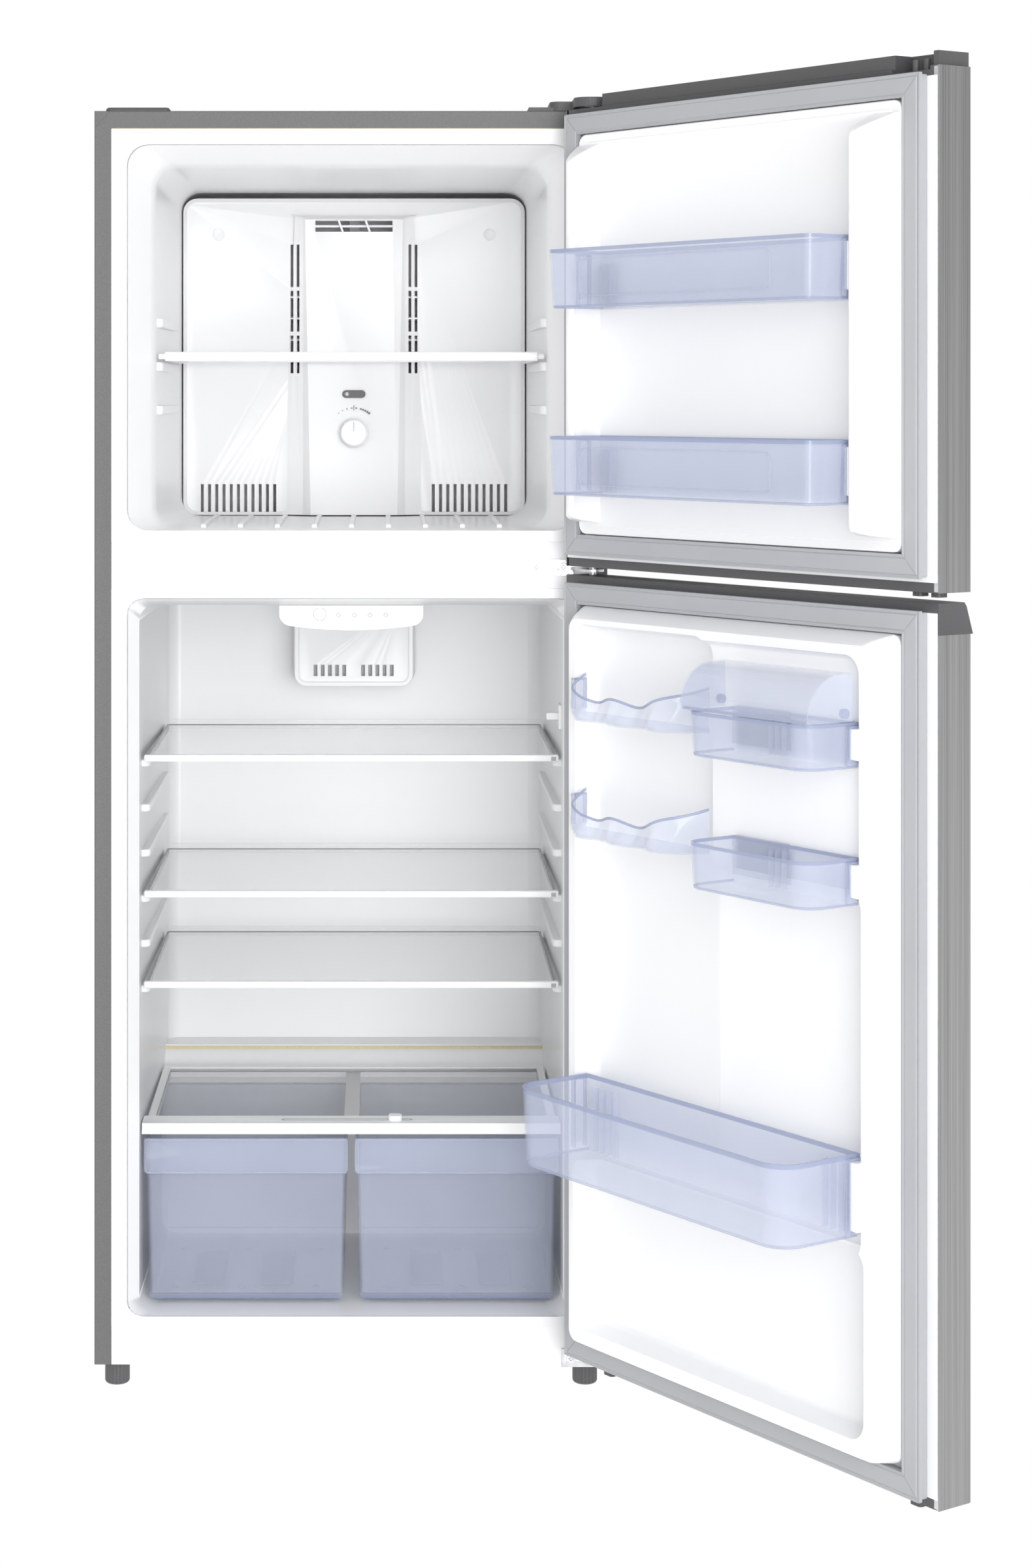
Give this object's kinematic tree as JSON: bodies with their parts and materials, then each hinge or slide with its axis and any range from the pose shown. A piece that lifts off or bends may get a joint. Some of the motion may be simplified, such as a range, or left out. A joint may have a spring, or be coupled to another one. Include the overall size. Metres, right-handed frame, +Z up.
{
  "type": "top freezer refrigerator",
  "caption": "Tall two-door refrigerator with a small freezer compartment on top, shelves, drawers and door bins.",
  "frame": {"origin": "on the floor at the middle of the cabinet width, under the front plane of the cabinet", "axes": "+Z up, -Y towards the doors and the user, +X towards the hinge side"},
  "size_m": [0.9299, 1.0956, 1.506],
  "materials": {
    "shell": "textured satin",
    "back": "satin",
    "foam": "matte",
    "liner": "gloss",
    "white": "semi gloss",
    "steel": "vertical brush",
    "cap": "satin",
    "gasket": "matte",
    "clear": "clear gloss",
    "glass": "clear gloss",
    "zinc": "zinc plated",
    "alu": "satin",
    "black": "satin black",
    "foot": "satin"
  },
  "bodies": {
    "cabinet": {"air_duct_cover": "white", "back_panel": "back", "base_tray": "zinc", "bottom_hinge": "zinc", "bottom_panel": "white", "cabinet_shell": "shell", "compressor": "black", "condenser_coil": "black", "control_housing": "white", "crisper_cover_frame": "white", "crisper_cover_glass": "glass", "door_switch_housing": "white", "drain_pan": "white", "evaporator": "alu", "evaporator_fan_motor": "black", "freezer_back_panel": "liner", "freezer_liner": "liner", "fridge_liner": "liner", "hinge_screws": "zinc", "hole_plugs": "white", "insulation_foam": "foam", "middle_hinge": "zinc", "mullion_panel": "white", "power_inlet": "cap", "top_blank_cap": "cap", "top_hinge": "zinc", "top_hinge_cover": "cap"},
    "freezer_door": {"freezer_door_bottom_cap": "cap", "freezer_door_foam": "foam", "freezer_door_gasket": "gasket", "freezer_door_liner": "liner", "freezer_door_skin": "steel", "freezer_door_top_cap": "cap"},
    "fridge_door": {"fridge_door_bottom_cap": "cap", "fridge_door_foam": "foam", "fridge_door_gasket": "gasket", "fridge_door_liner": "liner", "fridge_door_skin": "steel", "fridge_door_top_cap": "cap"},
    "bottom_bin_body": {"bottom_bin": "clear"},
    "can_rack_lower_body": {"can_rack_lower": "clear"},
    "can_rack_upper_body": {"can_rack_upper": "clear"},
    "crisper_drawer_left_body": {"crisper_drawer_left": "clear"},
    "crisper_drawer_right_body": {"crisper_drawer_right": "clear"},
    "dairy_bin_body": {"dairy_bin": "clear"},
    "dairy_cover_body": {"dairy_cover": "clear"},
    "door_switch_plunger_body": {"door_switch_plunger": "white"},
    "evaporator_fan_body": {"evaporator_fan": "white"},
    "freezer_bin_lower_body": {"freezer_bin_lower": "clear"},
    "freezer_bin_upper_body": {"freezer_bin_upper": "clear"},
    "freezer_shelf_body": {"freezer_shelf": "white"},
    "fridge_shelf_lower_body": {"fridge_shelf_lower": "glass"},
    "fridge_shelf_middle_body": {"fridge_shelf_middle": "glass"},
    "fridge_shelf_upper_body": {"fridge_shelf_upper": "glass"},
    "humidity_slider_body": {"humidity_slider": "white"},
    "levelling_foot_left_body": {"levelling_foot_left": "foot"},
    "levelling_foot_right_body": {"levelling_foot_right": "foot"},
    "middle_bin_body": {"middle_bin": "clear"},
    "set_button_body": {"set_button": "white"},
    "temperature_knob_body": {"temperature_knob": "white"}
  },
  "joints": [
    {"name": "freezer_door_hinge", "type": "hinge", "parent": "cabinet", "child": "freezer_door", "pos_m": [0.28, -0.038, 0.964], "axis": [0, 0, 1], "range_deg": [-124.6, 8]},
    {"name": "fridge_door_hinge", "type": "hinge", "parent": "cabinet", "child": "fridge_door", "pos_m": [0.28, -0.038, 0.05], "axis": [0, 0, 1], "range_deg": [-124.6, 8]},
    {"name": "freezer_bin_upper_lift", "type": "slide", "parent": "freezer_door", "child": "freezer_bin_upper_body", "axis": [0, 0, 1], "range_m": [0, 0.045]},
    {"name": "freezer_bin_lower_lift", "type": "slide", "parent": "freezer_door", "child": "freezer_bin_lower_body", "axis": [0, 0, 1], "range_m": [0, 0.045]},
    {"name": "can_rack_upper_lift", "type": "slide", "parent": "fridge_door", "child": "can_rack_upper_body", "axis": [0, 0, 1], "range_m": [0, 0.035]},
    {"name": "can_rack_lower_lift", "type": "slide", "parent": "fridge_door", "child": "can_rack_lower_body", "axis": [0, 0, 1], "range_m": [0, 0.035]},
    {"name": "dairy_bin_lift", "type": "slide", "parent": "fridge_door", "child": "dairy_bin_body", "axis": [0, 0, 1], "range_m": [0, 0.01]},
    {"name": "middle_bin_lift", "type": "slide", "parent": "fridge_door", "child": "middle_bin_body", "axis": [0, 0, 1], "range_m": [0, 0.04]},
    {"name": "bottom_bin_lift", "type": "slide", "parent": "fridge_door", "child": "bottom_bin_body", "axis": [0, 0, 1], "range_m": [0, 0.05]},
    {"name": "dairy_cover_hinge", "type": "hinge", "parent": "dairy_bin_body", "child": "dairy_cover_body", "pos_m": [0.45043, -0.41184, 0.875], "axis": [-0.5678, 0.8231, 0], "range_deg": [0, 60]},
    {"name": "freezer_shelf_slide", "type": "slide", "parent": "cabinet", "child": "freezer_shelf_body", "axis": [0, -1, 0], "range_m": [0, 0.1]},
    {"name": "fridge_shelf_upper_slide", "type": "slide", "parent": "cabinet", "child": "fridge_shelf_upper_body", "axis": [0, -1, 0], "range_m": [0, 0.1]},
    {"name": "fridge_shelf_middle_slide", "type": "slide", "parent": "cabinet", "child": "fridge_shelf_middle_body", "axis": [0, -1, 0], "range_m": [0, 0.1]},
    {"name": "fridge_shelf_lower_slide", "type": "slide", "parent": "cabinet", "child": "fridge_shelf_lower_body", "axis": [0, -1, 0], "range_m": [0, 0.1]},
    {"name": "crisper_drawer_left_slide", "type": "slide", "parent": "cabinet", "child": "crisper_drawer_left_body", "axis": [0, -1, 0], "range_m": [0, 0.22]},
    {"name": "crisper_drawer_right_slide", "type": "slide", "parent": "cabinet", "child": "crisper_drawer_right_body", "axis": [0, -1, 0], "range_m": [0, 0.1]},
    {"name": "humidity_slide", "type": "slide", "parent": "cabinet", "child": "humidity_slider_body", "axis": [1, 0, 0], "range_m": [-0.12, 0.012]},
    {"name": "temperature_knob_turn", "type": "hinge", "parent": "cabinet", "child": "temperature_knob_body", "pos_m": [0, 0.3754, 1.113], "axis": [0, 1, 0], "range_deg": [-50, 50]},
    {"name": "set_button_press", "type": "slide", "parent": "cabinet", "child": "set_button_body", "axis": [0, 1, 0], "range_m": [0, 0.002], "stiffness_N_per_m": 150},
    {"name": "door_switch_press", "type": "slide", "parent": "cabinet", "child": "door_switch_plunger_body", "axis": [0, 1, 0], "range_m": [0, 0.004], "stiffness_N_per_m": 120},
    {"name": "evaporator_fan_spin", "type": "hinge", "parent": "cabinet", "child": "evaporator_fan_body", "pos_m": [0, 0.424, 1.352], "axis": [0, 1, 0], "continuous": true},
    {"name": "levelling_foot_left_turn", "type": "hinge", "parent": "cabinet", "child": "levelling_foot_left_body", "pos_m": [-0.275, 0.025, 0.014], "axis": [0, 0, 1], "continuous": true},
    {"name": "levelling_foot_right_turn", "type": "hinge", "parent": "cabinet", "child": "levelling_foot_right_body", "pos_m": [0.275, 0.025, 0.014], "axis": [0, 0, 1], "continuous": true}
  ]
}
